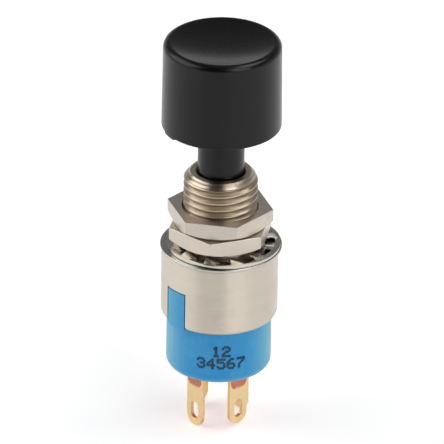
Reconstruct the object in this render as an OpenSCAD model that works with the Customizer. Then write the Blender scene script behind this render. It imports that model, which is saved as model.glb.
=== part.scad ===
// Mini push button switch: a momentary two-pole switch for a panel hole.
// Millimetres. +Z runs up the axis, out of the panel, and z = 0 is the shoulder of the
// case, where the bushing starts. An azimuth of 0 points along -Y and turns towards +X.

/* [Bushing and case] */
// Outside diameter of the bushing's thread
thread_d = 6.35; // [5.5:0.05:7]
// Height of the bushing above the shoulder
bushing_h = 7.26; // [6.4:0.01:9]
// Height of the tapered lead at the top of the thread
lead_h = 0.65; // [0.3:0.05:1]
// How far the lead tapers in from the thread, on the radius
lead_depth = 0.37; // [0.1:0.01:0.5]
// Outside diameter of the case
case_d = 10; // [9.6:0.1:12]
// Height of the case below the shoulder
case_h = 6.2; // [5.2:0.05:8]
// Wall of the case around the base
case_wall = 0.48; // [0.3:0.02:0.6]
// Thickness of the case's shoulder
shoulder_t = 0.8; // [0.6:0.05:1.2]
// Edge break at the case's shoulder
case_top_edge = 0.12; // [0.05:0.01:0.3]
// Radius round the case's lower rim
case_rim_r = 0.42; // [0.1:0.01:0.44]
// Width of each key slot in the case
slot_w = 2.3; // [1.6:0.01:2.6]
// Height of each key slot
slot_h = 3.48; // [2.6:0.02:4]
// Radius where a slot opens into the rim
slot_mouth_r = 0.35; // [0.1:0.05:0.5]

/* [Mounting hardware] */
// Outside diameter of the flat washer
ring_d = 10.45; // [9.6:0.05:12]
// Thickness of the flat washer
ring_t = 0.28; // [0.2:0.02:0.4]
// How far the loose flat washer has slid off the axis
ring_shift = 0.1; // [0:0.01:0.12]
// Azimuth towards which the flat washer has slid
ring_shift_az = 138; // [0:1:359]
// Outside diameter of the lock washer
washer_d = 9.76; // [9:0.02:10]
// Thickness of the lock washer's sheet
washer_t = 0.2; // [0.14:0.02:0.24]
// Width of the lock washer's outer ring
washer_rim = 0.34; // [0.2:0.02:0.5]
// How far the loose lock washer has slid off the axis
washer_shift = 0.38; // [0:0.01:0.4]
// Azimuth towards which the lock washer has slid
washer_shift_az = 108; // [0:1:359]
// Number of teeth inside the lock washer
tooth_n = 12; // [8:1:14]
// Width of one tooth
tooth_w = 0.95; // [0.6:0.05:1]
// Twist of each tooth out of the sheet, in degrees
tooth_twist = 19; // [5:1:20]
// Azimuth of the lock washer's first tooth
tooth_az = 5; // [0:1:29]
// Width across the nuts' flats
nut_af = 8; // [7.8:0.05:9]
// Thickness of a nut
nut_t = 1.59; // [1.3:0.01:2]
// Radius of a nut's lower face, where its chamfer starts
nut_face_r = 3.72; // [3.5:0.02:3.9]
// Angle of the nuts' chamfer, in degrees
nut_chamfer = 30; // [20:1:35]
// Azimuth of one corner of the lower nut
lower_nut_az = 37.5; // [0:0.5:59.5]
// Azimuth of one corner of the upper nut
upper_nut_az = 7.5; // [0:0.5:59.5]

/* [Cap and plunger] */
// Diameter of the cap at its lower rim
cap_d = 10.26; // [8.6:0.02:12.4]
// Diameter of the cap at its top
cap_top_d = 10.12; // [8.5:0.02:12.3]
// Height of the cap
cap_h = 7.78; // [6.6:0.02:9.4]
// Height of the cap's lower rim above the bushing
cap_gap = 4.44; // [3:0.01:6]
// Radius of the cap's top rim
cap_rim_r = 0.42; // [0.2:0.02:0.6]
// Depth of the dish in the cap's top
dish_depth = 0.55; // [0.3:0.05:0.8]
// Wall of the cap
cap_wall = 1.1; // [0.8:0.05:1.5]
// Thickness of the cap's top
cap_top_t = 1.5; // [1:0.1:1.8]
// Height of the step inside the cap's lower rim
cap_recess = 0.9; // [0.4:0.1:1.5]
// Wall of the boss inside the cap
boss_wall = 0.9; // [0.6:0.05:1.2]
// Width of the webs between the boss and the cap's wall
web_w = 0.7; // [0.5:0.05:1]
// Depth of the moulding nub under the cap's rim
nub_h = 0.12; // [0.05:0.01:0.3]
// Azimuth where the moulding nub starts
nub_az = -22; // [-60:1:60]
// Length of the moulding nub round the rim, in degrees
nub_span = 18; // [5:1:30]
// Diameter of the plunger
plunger_d = 4; // [3.4:0.02:4.4]
// Diameter of the plunger's tang inside the cap
tang_d = 3; // [2.4:0.05:3.2]
// Length of the tang inside the cap
tang_h = 4.2; // [3:0.1:4.8]
// Diameter of the plunger's stop flange
flange_d = 6; // [5.2:0.1:6.4]
// Thickness of the stop flange
flange_t = 0.9; // [0.6:0.05:1.1]
// Diameter of the plunger's stem inside the carrier
stem_d = 1.6; // [1.2:0.05:1.7]
// Length of the stem
stem_h = 1.5; // [1:0.05:1.7]
// How far the plunger travels
travel = 2.4; // [2:0.1:2.4]
// Thickness of the O-ring's section
oring_section = 0.54; // [0.4:0.02:0.7]
// Height of the O-ring above the shoulder
oring_z = 2.2; // [1:0.1:3.5]

/* [Contacts] */
// Distance of the fixed contacts from the axis
contact_r = 2.75; // [2.7:0.01:2.8]
// Diameter of a contact rivet
rivet_d = 0.9; // [0.7:0.02:0.9]
// Height of a fixed contact rivet
fixed_rivet_h = 0.3; // [0.2:0.02:0.4]
// Height of a moving contact rivet
moving_rivet_h = 0.25; // [0.15:0.01:0.3]
// Open gap between the contacts at rest
contact_gap = 0.82; // [0.6:0.02:0.9]
// Gap left between the contacts at the end of travel
contact_touch = 0.02; // [0.01:0.01:0.05]
// Width of a contact bridge
bridge_w = 0.9; // [0.7:0.02:0.9]
// Thickness of a contact bridge
bridge_t = 0.3; // [0.2:0.02:0.35]
// Length of a pressed contact spring
pressed_spring_h = 0.6; // [0.5:0.05:0.8]
// Width of the contact carrier
carrier_w = 1.5; // [1.2:0.05:1.6]
// Wall at the ends of the carrier's windows
carrier_end = 0.4; // [0.3:0.05:0.5]
// Thickness above the carrier's windows
carrier_roof = 0.5; // [0.4:0.05:0.6]
// Thickness below the carrier's windows
carrier_floor = 0.6; // [0.4:0.05:0.7]
// Web between the stem's bore and the spring's bore
carrier_web = 0.4; // [0.3:0.05:0.5]
// Wall of the carrier around the return spring
carrier_skirt = 0.4; // [0.3:0.05:0.5]
// How far the carrier's arms lie below the stop flange
arm_drop = 1.2; // [1:0.05:1.5]

/* [Base and terminals] */
// Length of the base that shows below the case
base_drop = 5; // [4.5:0.05:6]
// Radius round the base's lower edge
base_edge_r = 0.75; // [0.3:0.05:0.75]
// Wall of the base around the contacts
base_wall = 0.9; // [0.7:0.05:1]
// Depth of the sealing recess under the base
recess_depth = 0.9; // [0.6:0.05:1]
// Wall around the sealing recess
recess_wall = 0.8; // [0.6:0.05:1]
// Thickness of the base's floor
floor_t = 1.05; // [0.9:0.05:1.3]
// Thickness left under the spring's well
well_floor = 0.4; // [0.3:0.05:0.6]
// Thickness of the guide ribs inside the base
guide_t = 0.5; // [0.3:0.05:0.6]
// Thickness of the terminals' sheet
terminal_t = 0.4; // [0.3:0.02:0.5]
// Distance of the terminals' mid plane from the axis
terminal_r = 2.5; // [2.4:0.02:2.6]
// Width of the solder lugs
lug_w = 1.9; // [1.4:0.05:2.2]
// Length of the solder lugs below the base
lug_h = 4.97; // [4:0.01:6.4]
// Extra length of the first and third lugs
lug_stagger = 0.35; // [0:0.05:0.5]
// Width of the eye in a lug
eye_w = 0.9; // [0.6:0.02:1]
// Length of the eye in a lug
eye_h = 1.6; // [1.1:0.05:2]
// Metal between the eye and the lug's tip
eye_land = 0.66; // [0.4:0.02:0.8]
// Width of the terminals inside the base
neck_w = 1.1; // [0.8:0.05:1.2]
// How far the sealing resin creeps down each lug
creep_h = 1.3; // [0.5:0.1:2]
// Thickness of the resin on a lug where it ends
creep_t = 0.05; // [0.04:0.01:0.15]
// Spread of the resin round a lug where it starts
creep_spread = 0.14; // [0.1:0.02:0.5]
// Depth of the resin's face inside the base's rim
seal_dip = 0.1; // [0.05:0.05:0.4]

/* [Fits] */
// Radial clearance of the plunger in its bore
plunger_fit = 0.06; // [0.02:0.01:0.1]
// Radial clearance of a pressed or cemented joint
press_fit = 0.02; // [0.01:0.01:0.03]
// Radial clearance of the nuts on the thread
nut_fit = 0.05; // [0.03:0.01:0.1]
// Radial clearance of the flat washer on the thread
ring_fit = 0.15; // [0.13:0.01:0.2]
// Gap between the thread and the nearest tooth of the lock washer
tooth_fit = 0.06; // [0.03:0.01:0.2]
// Clearance of sliding parts inside the base
slide_fit = 0.06; // [0.04:0.01:0.1]
// Clearance of the keys in their slots
key_fit = 0.13; // [0.04:0.01:0.15]
// Radial clearance of the O-ring in the bushing
oring_fit = 0.04; // [0.02:0.01:0.08]
// Radial clearance of the return spring in the carrier
spring_fit = 0.1; // [0.06:0.01:0.15]

/* [Hidden] */
$fn = 96;
// Overlap between the shapes of one solid, and how far a cut runs past a surface
e = 0.01;
past = 1;

// Radii of the case and its bushing
thread_r = thread_d / 2;
case_r = case_d / 2;
bore_r = plunger_d / 2 + plunger_fit;
bore_lead = 0.14;
base_r = case_r - case_wall - press_fit;

// Heights of the stacked hardware
ring_edge = 0.07;
tooth_half_h = (tooth_w * sin(tooth_twist) + washer_t * cos(tooth_twist)) / 2;
washer_gap = 0.005;
washer_mid_z = ring_t + washer_gap + tooth_half_h;
lower_nut_z = washer_mid_z + tooth_half_h + washer_gap;
upper_nut_z = lower_nut_z + nut_t;
nut_bore_r = thread_r + nut_fit;
nut_corner_r = nut_af / 2 / cos(30);
nut_edge = 0.12;

// Lock washer
washer_r = washer_d / 2;
tooth_in_r = thread_r + washer_shift + tooth_fit;
tooth_out_r = washer_r - washer_rim / 2;

// Cap and plunger
cap_z = bushing_h + cap_gap;
cap_r = cap_d / 2;
cap_top_r = cap_top_d / 2;
dish_r = cap_top_r - cap_rim_r;
dish_sphere_r = (dish_r * dish_r + dish_depth * dish_depth) / (2 * dish_depth);
neck_top = cap_z + cap_recess;
tang_r = tang_d / 2;
tang_room = 0.1;
boss_r = tang_r + press_fit + boss_wall;
neck_r = plunger_d / 2;
flange_z = -shoulder_t - flange_t;
stem_r = stem_d / 2;
oring_r = bore_r - oring_fit - oring_section / 2;
groove_room = 0.06;
groove_r = oring_r - oring_section / 2 - press_fit;
groove_h = oring_section + 2 * groove_room;

// Contacts: each bridge spans two terminals that stand 90 degrees apart
terminal_azimuths = [0, 90, 180, 270];
bridge_azimuths = [45, 225];
key_azimuths = [0, 180];
bridge_mid = contact_r * cos(45);
bridge_travel = contact_gap - contact_touch;
overtravel = travel - bridge_travel;
carrier_z = flange_z - stem_h - carrier_web;
window_top = flange_z - arm_drop - carrier_roof;
window_floor = window_top - pressed_spring_h - overtravel - bridge_t;
carrier_bottom = window_floor - carrier_floor;
window_in = bridge_mid - bridge_w / 2 - slide_fit;
window_out = bridge_mid + bridge_w / 2 + slide_fit;
carrier_r = window_out + carrier_end;
window_step = 0.05;
carrier_boss_r = window_in - window_step;
spring_bore_r = carrier_boss_r - carrier_skirt;
moving_contact_z = window_floor - moving_rivet_h;
fixed_contact_z = moving_contact_z - contact_gap;
tab_z = fixed_contact_z - fixed_rivet_h;
tab_end = contact_r + rivet_d / 2;

// Base
base_top = -shoulder_t;
base_bottom = -case_h - base_drop;
cavity_r = base_r - base_wall;
recess_r = base_r - recess_wall;
floor_bottom = base_bottom + recess_depth;
floor_top = floor_bottom + floor_t;
well_bottom = floor_bottom + well_floor;
well_r = spring_bore_r + spring_fit;
guide_lap = 0.3;
guide_in = carrier_r - guide_lap;
guide_room = 0.3;
guide_top = flange_z - travel - guide_room;
key_h = slot_h - key_fit;

// Springs
return_wire = 0.2;
return_turns = 9;
return_spring_r = spring_bore_r - spring_fit - return_wire / 2;
contact_wire = 0.1;
contact_turns = 5;
contact_spring_r = 0.32;

// Turns what is drawn at azimuth 0, on the -Y side, to another azimuth.
module at_azimuth(az) {
    rotate([0, 0, az])
        children();
}

// Stands a flat outline upright: its X stays, its Y becomes Z, and it is as thick as t
// about the plane y = -r.
module upright(r, t) {
    translate([0, -r + t / 2, 0])
        rotate([90, 0, 0])
            linear_extrude(height = t)
                children();
}

// The quarter of a disc where X and Y are positive.
module quarter_disc(r) {
    intersection() {
        circle(r = r);
        square(r + e);
    }
}

// Pushed onto the plunger; moulded with a dished top and a hollow underside.
module cap() {
    color("#2e2e2f")
    difference() {
        union() {
            difference() {
                cap_blank();
                translate([0, 0, cap_z + cap_h - dish_depth + dish_sphere_r])
                    sphere(r = dish_sphere_r);
                cap_hollow();
            }
            cap_boss();
            cap_nub();
        }
        translate([0, 0, neck_top - e])
            cylinder(r = tang_r + press_fit, h = tang_h + tang_room + e);
    }
}

module cap_blank() {
    rotate_extrude()
        translate([0, cap_z]) {
            polygon([[0, 0], [cap_r, 0], [cap_top_r, cap_h - cap_rim_r], [0, cap_h - cap_rim_r]]);
            square([cap_top_r - cap_rim_r, cap_h]);
            translate([cap_top_r - cap_rim_r, cap_h - cap_rim_r])
                quarter_disc(cap_rim_r);
        }
}

module cap_hollow() {
    translate([0, 0, cap_z - past])
        cylinder(r = cap_r - cap_wall, h = cap_h - cap_top_t + past);
}

module cap_boss() {
    hollow_h = cap_h - cap_top_t - cap_recess;
    translate([0, 0, neck_top])
        cylinder(r = boss_r, h = hollow_h + e);
    for (az = [45, 135])
        rotate([0, 0, az])
            translate([-cap_r + cap_wall / 2, -web_w / 2, neck_top])
                cube([2 * cap_r - cap_wall, web_w, hollow_h + e]);
}

module cap_nub() {
    inset = 0.03;
    rotate([0, 0, nub_az - 90])
        rotate_extrude(angle = nub_span)
            translate([cap_r - cap_wall / 2, cap_z - nub_h])
                square([cap_wall / 2 - inset, nub_h + e]);
}

// One moulding: tang, neck with its seal groove, stop flange and stem.
module plunger() {
    color("#2b2b2c")
    rotate_extrude()
        polygon([
            [0, flange_z - stem_h],
            [stem_r, flange_z - stem_h],
            [stem_r, flange_z],
            [flange_d / 2, flange_z],
            [flange_d / 2, -shoulder_t],
            [neck_r, -shoulder_t],
            [neck_r, oring_z - groove_h / 2],
            [groove_r, oring_z - groove_h / 2],
            [groove_r, oring_z + groove_h / 2],
            [neck_r, oring_z + groove_h / 2],
            [neck_r, neck_top],
            [tang_r, neck_top],
            [tang_r, neck_top + tang_h],
            [0, neck_top + tang_h]
        ]);
}

module o_ring() {
    color("#161616")
    rotate_extrude()
        translate([oring_r, oring_z])
            circle(d = oring_section, $fn = 32);
}

// Turned from one bar: the threaded bushing above, the thin-walled case below.
module housing() {
    color("#c8bfb0")
    difference() {
        rotate_extrude() {
            polygon([
                [bore_r, -shoulder_t],
                [case_r - case_wall, -shoulder_t],
                [case_r - case_wall, -case_h],
                [case_r - case_rim_r, -case_h],
                [case_r - case_rim_r, -case_h + case_rim_r],
                [case_r, -case_h + case_rim_r],
                [case_r, -case_top_edge],
                [case_r - case_top_edge, 0],
                [thread_r, 0],
                [thread_r, bushing_h - lead_h],
                [thread_r - lead_depth, bushing_h],
                [bore_r + bore_lead, bushing_h],
                [bore_r, bushing_h - bore_lead]
            ]);
            translate([case_r - case_rim_r, -case_h + case_rim_r])
                mirror([0, 1])
                    quarter_disc(case_rim_r);
        }
        for (az = key_azimuths)
            at_azimuth(az)
                upright(case_r, 2 * (case_wall + past))
                    slot_outline();
    }
}

// A slot open at the case's rim, its mouth rounded on both sides.
module slot_outline() {
    translate([-slot_w / 2, -case_h - past])
        square([slot_w, slot_h + past]);
    for (side = [-1, 1])
        difference() {
            translate([side * (slot_w + slot_mouth_r) / 2, -case_h + (slot_mouth_r - past) / 2])
                square([slot_mouth_r, slot_mouth_r + past], center = true);
            translate([side * (slot_w / 2 + slot_mouth_r), -case_h + slot_mouth_r])
                circle(r = slot_mouth_r);
        }
}

// Slides a loose piece off the axis, towards an azimuth.
module slid(shift, az) {
    at_azimuth(az)
        translate([0, -shift, 0])
            at_azimuth(-az)
                children();
}

module flat_washer() {
    ring_r = ring_d / 2;
    color("#8d9089")
    slid(ring_shift, ring_shift_az)
        rotate_extrude()
            polygon([
                [thread_r + ring_fit, 0],
                [ring_r - ring_edge, 0],
                [ring_r, ring_edge],
                [ring_r, ring_t - ring_edge],
                [ring_r - ring_edge, ring_t],
                [thread_r + ring_fit, ring_t]
            ]);
}

// Sheet ring with teeth that point inwards. Each is twisted about its middle, so the
// washer stands on the low edges of its teeth.
module lock_washer() {
    color("#d9d2c6")
    slid(washer_shift, washer_shift_az)
        translate([0, 0, washer_mid_z]) {
            difference() {
                cylinder(r = washer_r, h = washer_t, center = true);
                cylinder(r = washer_r - washer_rim, h = washer_t + past, center = true);
            }
            for (k = [0 : tooth_n - 1])
                at_azimuth(tooth_az + k * 360 / tooth_n)
                    washer_tooth();
        }
}

module washer_tooth() {
    translate([0, -(tooth_out_r + tooth_in_r) / 2, 0])
        rotate([0, tooth_twist, 0])
            cube([tooth_w, tooth_out_r - tooth_in_r, washer_t], center = true);
}

// A hexagon with its lower corners turned away and its bore eased at both ends.
module hex_nut(z, az) {
    drop = nut_corner_r - nut_face_r;
    color("#d3cbbf")
    translate([0, 0, z])
        difference() {
            intersection() {
                at_azimuth(az + 90)
                    cylinder(r = nut_corner_r, h = nut_t, $fn = 6);
                union() {
                    cylinder(r1 = nut_face_r, r2 = nut_corner_r + e, h = drop * tan(nut_chamfer));
                    translate([0, 0, drop * tan(nut_chamfer)])
                        cylinder(r = nut_corner_r + e, h = nut_t);
                }
            }
            translate([0, 0, -past])
                cylinder(r = nut_bore_r, h = nut_t + 2 * past);
            translate([0, 0, nut_t - nut_edge])
                cylinder(r1 = nut_bore_r, r2 = nut_bore_r + nut_edge + e, h = nut_edge + e);
            translate([0, 0, -e])
                cylinder(r1 = nut_bore_r + nut_edge + e, r2 = nut_bore_r, h = nut_edge + e);
        }
}

module lower_nut() {
    hex_nut(lower_nut_z, lower_nut_az);
}

module upper_nut() {
    hex_nut(upper_nut_z, upper_nut_az);
}

// Pressed onto the plunger's stem; its two windows hold the bridges and their springs.
module contact_carrier() {
    color("#e8e0cc")
    difference() {
        union() {
            translate([0, 0, carrier_bottom])
                cylinder(r = carrier_boss_r, h = flange_z - carrier_bottom);
            for (az = bridge_azimuths)
                at_azimuth(az)
                    carrier_arm();
        }
        translate([0, 0, flange_z - stem_h])
            cylinder(r = stem_r + press_fit, h = stem_h + past);
        translate([0, 0, carrier_bottom - past])
            cylinder(r = spring_bore_r, h = carrier_z - carrier_bottom + past);
    }
}

module carrier_arm() {
    arm_h = window_top + carrier_roof - carrier_bottom;
    difference() {
        translate([-carrier_w / 2, -carrier_r, carrier_bottom])
            cube([carrier_w, carrier_r - carrier_boss_r / 2, arm_h]);
        translate([-carrier_w, -window_out, window_floor])
            cube([2 * carrier_w, window_out - window_in, window_top - window_floor]);
        translate([0, 0, carrier_bottom - past])
            cylinder(r = spring_bore_r, h = flange_z - carrier_bottom + past);
    }
}

// Sprung strip with round ends over two contacts.
module contact_bridge(az) {
    color("#d9b36a")
    at_azimuth(az)
        translate([0, -bridge_mid, window_floor])
            linear_extrude(height = bridge_t) {
                square([2 * bridge_mid, bridge_w], center = true);
                for (side = [-1, 1])
                    translate([side * bridge_mid, 0])
                        circle(d = bridge_w, $fn = 48);
            }
}

module contact_bridge_1() {
    contact_bridge(bridge_azimuths[0]);
}

module contact_bridge_2() {
    contact_bridge(bridge_azimuths[1]);
}

// A rivet head, standing on height z over a terminal.
module rivet(az, z, h) {
    color("#e6e3dc")
    at_azimuth(az)
        translate([0, -contact_r, z])
            cylinder(d = rivet_d, h = h, $fn = 48);
}

module moving_contacts() {
    for (az = terminal_azimuths)
        rivet(az, moving_contact_z, moving_rivet_h);
}

module fixed_contact(k) {
    rivet(terminal_azimuths[k], tab_z, fixed_rivet_h);
}

// Points of one ring of a coil's wire, at turn u of n.
function coil_ring(u, n, r, wire, h, sides) = [
    for (s = [0 : sides - 1])
        let (
            a = 360 * u * n,
            b = 360 * s / sides,
            ring_r = r + wire / 2 * cos(b),
            z = wire / 2 + (h - wire) * u + wire / 2 * sin(b)
        )
        [ring_r * cos(a), ring_r * sin(a), z]
];

// A round-wire coil of n turns that stands on z = 0 and is h high.
module coil(r, wire, h, n, steps, sides) {
    rings = n * steps;
    points = [for (i = [0 : rings]) each coil_ring(i / rings, n, r, wire, h, sides)];
    walls = [
        for (i = [0 : rings - 1])
            for (s = [0 : sides - 1])
                let (t = (s + 1) % sides)
                [i * sides + s, (i + 1) * sides + s, (i + 1) * sides + t, i * sides + t]
    ];
    first = [for (s = [0 : sides - 1]) s];
    last = [for (s = [sides - 1 : -1 : 0]) rings * sides + s];
    polyhedron(points, concat(walls, [first, last]));
}

module return_spring() {
    color("#b9bcc0")
    translate([0, 0, well_bottom])
        coil(return_spring_r, return_wire, carrier_z - well_bottom, return_turns, 14, 6);
}

module contact_spring(az) {
    spring_z = window_floor + bridge_t;
    color("#b9bcc0")
    at_azimuth(az)
        translate([0, -bridge_mid, spring_z])
            coil(contact_spring_r, contact_wire, window_top - spring_z, contact_turns, 12, 6);
}

module contact_spring_1() {
    contact_spring(bridge_azimuths[0]);
}

module contact_spring_2() {
    contact_spring(bridge_azimuths[1]);
}

// Moulded cup with two keys outside and guides for the carrier inside.
module base() {
    color("#3f97cc")
    difference() {
        union() {
            base_blank();
            for (az = key_azimuths)
                at_azimuth(az)
                    base_key();
        }
        difference() {
            translate([0, 0, floor_top])
                cylinder(r = cavity_r, h = base_top - floor_top + past);
            for (az = bridge_azimuths)
                at_azimuth(az)
                    guide_ribs();
        }
        translate([0, 0, well_bottom])
            cylinder(r = well_r, h = floor_top - well_bottom + past);
        translate([0, 0, base_bottom - past])
            cylinder(r = recess_r, h = recess_depth + past);
        for (az = terminal_azimuths)
            at_azimuth(az)
                translate([0, -terminal_r, floor_bottom + floor_t / 2])
                    cube([
                        neck_w + 2 * press_fit,
                        terminal_t + 2 * press_fit,
                        floor_t + 2 * past
                    ], center = true);
    }
}

module base_blank() {
    rotate_extrude() {
        translate([0, base_bottom + base_edge_r])
            square([base_r, base_top - base_bottom - base_edge_r]);
        translate([0, base_bottom])
            square([base_r - base_edge_r, base_edge_r + e]);
        translate([base_r - base_edge_r, base_bottom + base_edge_r])
            mirror([0, 1])
                quarter_disc(base_edge_r);
    }
}

module base_key() {
    intersection() {
        translate([-slot_w / 2 + key_fit, -case_r - past, -case_h])
            cube([slot_w - 2 * key_fit, case_r + past - base_r + base_wall / 2, key_h]);
        cylinder(r = case_r, h = 2 * (case_h + past), center = true);
    }
}

module guide_ribs() {
    rib_x = carrier_w / 2 + slide_fit + guide_t / 2;
    for (side = [-1, 1])
        translate([side * rib_x - guide_t / 2, -cavity_r - past, floor_top - past])
            cube([guide_t, cavity_r + past - guide_in, guide_top - floor_top + past]);
}

// Bent from one sheet: solder lug, shouldered neck and contact tab.
module terminal(k) {
    az = terminal_azimuths[k];
    tip = lug_h + lug_stagger * ((k + 1) % 2);
    color("#e3bd72")
    at_azimuth(az) {
        upright(terminal_r, terminal_t)
            lug_outline(tip);
        translate([-neck_w / 2, -terminal_r - terminal_t / 2, floor_bottom - e])
            cube([neck_w, terminal_t, tab_z - floor_bottom + e]);
        translate([-neck_w / 2, -tab_end, tab_z - terminal_t])
            cube([neck_w, tab_end - terminal_r, terminal_t]);
    }
}

module lug_outline(tip) {
    lug_r = lug_w / 2;
    bottom = base_bottom - tip;
    difference() {
        union() {
            translate([-lug_r, bottom + lug_r])
                square([lug_w, floor_bottom - bottom - lug_r]);
            translate([0, bottom + lug_r])
                circle(r = lug_r);
        }
        translate([-eye_w / 2, bottom + eye_land + eye_w / 2])
            square([eye_w, eye_h - eye_w]);
        for (y = [eye_w / 2, eye_h - eye_w / 2])
            translate([0, bottom + eye_land + y])
                circle(d = eye_w, $fn = 48);
    }
}

// Resin that fills the recess under the base and creeps down each lug.
module epoxy_seal() {
    slice = 0.1;
    creep_z = base_bottom - creep_h;
    color("#b9504c")
    difference() {
        union() {
            translate([0, 0, base_bottom + seal_dip])
                cylinder(r = recess_r - e, h = recess_depth - seal_dip);
            for (az = terminal_azimuths)
                at_azimuth(az)
                    hull() {
                        lug_block(creep_spread, base_bottom + seal_dip, slice);
                        lug_block(creep_t, creep_z, slice);
                    }
        }
        for (az = terminal_azimuths)
            at_azimuth(az)
                lug_block(press_fit / 2, creep_z - past, recess_depth + creep_h + 2 * past);
    }
}

// A block round the lug's section, wider than it by spread on every side.
module lug_block(spread, z, h) {
    translate([-lug_w / 2 - spread, -terminal_r - terminal_t / 2 - spread, z])
        cube([lug_w + 2 * spread, terminal_t + 2 * spread, h]);
}

cap();
plunger();
o_ring();
contact_carrier();
return_spring();
contact_spring_1();
contact_spring_2();
contact_bridge_1();
contact_bridge_2();
moving_contacts();
housing();
flat_washer();
lock_washer();
lower_nut();
upper_nut();
base();
terminal(0);  // terminal_1
terminal(1);  // terminal_2
terminal(2);  // terminal_3
terminal(3);  // terminal_4
fixed_contact(0);  // fixed_contact_1
fixed_contact(1);  // fixed_contact_2
fixed_contact(2);  // fixed_contact_3
fixed_contact(3);  // fixed_contact_4
epoxy_seal();
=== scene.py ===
"""Mini push button switch: the visible pieces, their finishes and a plain studio, built round
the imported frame. Metres; the axis is Z and z = 0 is the shoulder that sits under the panel."""

import math

import bpy
from bpy.props import FloatProperty, FloatVectorProperty, IntProperty, PointerProperty
from mathutils import Matrix, Vector


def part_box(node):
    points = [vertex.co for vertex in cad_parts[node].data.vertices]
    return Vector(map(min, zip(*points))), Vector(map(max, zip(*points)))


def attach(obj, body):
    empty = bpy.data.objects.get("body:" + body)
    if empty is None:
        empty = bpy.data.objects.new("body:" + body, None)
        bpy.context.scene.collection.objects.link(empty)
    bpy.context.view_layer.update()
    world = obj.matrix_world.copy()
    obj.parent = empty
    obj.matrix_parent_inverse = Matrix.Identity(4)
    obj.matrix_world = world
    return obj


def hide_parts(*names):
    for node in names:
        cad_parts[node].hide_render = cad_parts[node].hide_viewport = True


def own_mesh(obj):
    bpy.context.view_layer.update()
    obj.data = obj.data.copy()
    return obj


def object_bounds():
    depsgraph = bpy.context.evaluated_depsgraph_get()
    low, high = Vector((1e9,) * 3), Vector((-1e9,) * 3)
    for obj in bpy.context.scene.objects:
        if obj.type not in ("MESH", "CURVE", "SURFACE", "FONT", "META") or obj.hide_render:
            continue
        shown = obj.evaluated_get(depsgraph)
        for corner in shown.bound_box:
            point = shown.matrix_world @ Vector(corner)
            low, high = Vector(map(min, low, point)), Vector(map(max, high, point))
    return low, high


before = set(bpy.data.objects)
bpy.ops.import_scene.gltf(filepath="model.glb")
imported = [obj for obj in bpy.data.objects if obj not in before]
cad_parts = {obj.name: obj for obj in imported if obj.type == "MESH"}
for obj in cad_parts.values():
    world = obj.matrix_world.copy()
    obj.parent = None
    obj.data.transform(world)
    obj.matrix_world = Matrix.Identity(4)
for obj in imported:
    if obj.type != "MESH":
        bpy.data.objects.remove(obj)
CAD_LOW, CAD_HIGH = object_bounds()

bl_info = {
    "name": "Mini Push Button Switch",
    "version": (1, 0, 0),
    "blender": (4, 5, 0),
    "location": "View3D > Sidebar > Switch",
    "description": "Builds a threaded mini push button switch with solder lugs",
    "category": "Add Mesh",
}

MM = 0.001
FULL_TURN = 2 * math.pi
STEPS = 128  # sides of a turned surface
FLAT = math.radians(0.5)  # faces that differ by less are one face
THREAD_STEPS = 96
WELD = 1e-6  # points nearer than this are one point
FINE_WELD = 2e-7  # the same on the thread, which has smaller facets

HOUSING_LOW, HOUSING_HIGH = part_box("housing")
CAP_LOW, CAP_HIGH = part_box("cap")
PLUNGER_LOW, PLUNGER_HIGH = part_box("plunger")
BASE_LOW, BASE_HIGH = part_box("base")
RING_LOW, RING_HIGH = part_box("flat_washer")
LOCK_LOW, LOCK_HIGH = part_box("lock_washer")
SEAL_LOW, SEAL_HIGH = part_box("epoxy_seal")


# ---------------------------------------------------------------- sizes and colours


def length(name, text, millimetres):
    return FloatProperty(
        name=name, description=text, default=millimetres * MM, min=0.0, precision=5,
        subtype="DISTANCE", unit="LENGTH",
    )


def angle(name, text, degrees):
    return FloatProperty(
        name=name, description=text, default=math.radians(degrees),
        subtype="ANGLE", unit="ROTATION",
    )


def colour(name, text, value):
    return FloatVectorProperty(
        name=name, description=text, default=value, min=0.0, max=1.0, size=3,
        subtype="COLOR",
    )


class SwitchHousingSizes(bpy.types.PropertyGroup):
    thread_d: length("Thread", "Diameter over the thread's crests", 6.35)
    pitch: length("Pitch", "From one crest to the next", 0.635)
    thread_depth: length("Thread depth", "From crest to root", 0.43)
    lead_h: length("Lead height", "Height of the cone at the bushing's top", 0.65)
    lead_depth: length("Lead depth", "How far that cone comes in", 0.56)
    runout_h: length("Run-out", "Height of the thread's run-out line on the cone", 0.17)
    bore_r: length("Bore radius", "Radius of the plunger's bore", 2.06)
    case_wall: length("Case wall", "Thickness of the case", 0.48)
    shoulder_t: length("Shoulder", "Thickness of the case's closed end", 0.8)
    top_edge: length("Top edge", "Chamfer round the shoulder", 0.12)
    rim_r: length("Rim radius", "Rounding of the case's open rim", 0.42)
    slot_w: length("Slot width", "Width of the key slots", 2.3)
    slot_h: length("Slot height", "Height of the key slots", 3.48)
    slot_mouth_r: length("Slot mouth", "Rounding of a slot's mouth", 0.35)


class SwitchCapSizes(bpy.types.PropertyGroup):
    top_r: length("Top radius", "Radius of the cap at its top", 5.06)
    rim_r: length("Rim radius", "Rounding of the top's rim", 0.55)
    dish: length("Dish depth", "Depth of the finger dish", 0.55)
    wall: length("Wall", "Thickness of the cap's skirt", 1.1)
    roof: length("Roof", "Thickness of the cap's top", 1.5)
    recess: length("Recess", "How far the neck reaches into the cap", 0.9)
    web_w: length("Web", "Thickness of the webs inside", 0.7)
    nub_h: length("Gate nub", "Height of the nub under the skirt", 0.12)
    nub_az: angle("Nub azimuth", "Where the nub is", -22)
    nub_span: angle("Nub span", "How far round the nub reaches", 18)
    neck_r: length("Neck radius", "Radius of the plunger's neck", 2.0)
    tang_r: length("Tang radius", "Radius of the plunger's tang", 1.5)
    tang_h: length("Tang height", "Height of the plunger's tang", 4.2)


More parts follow.
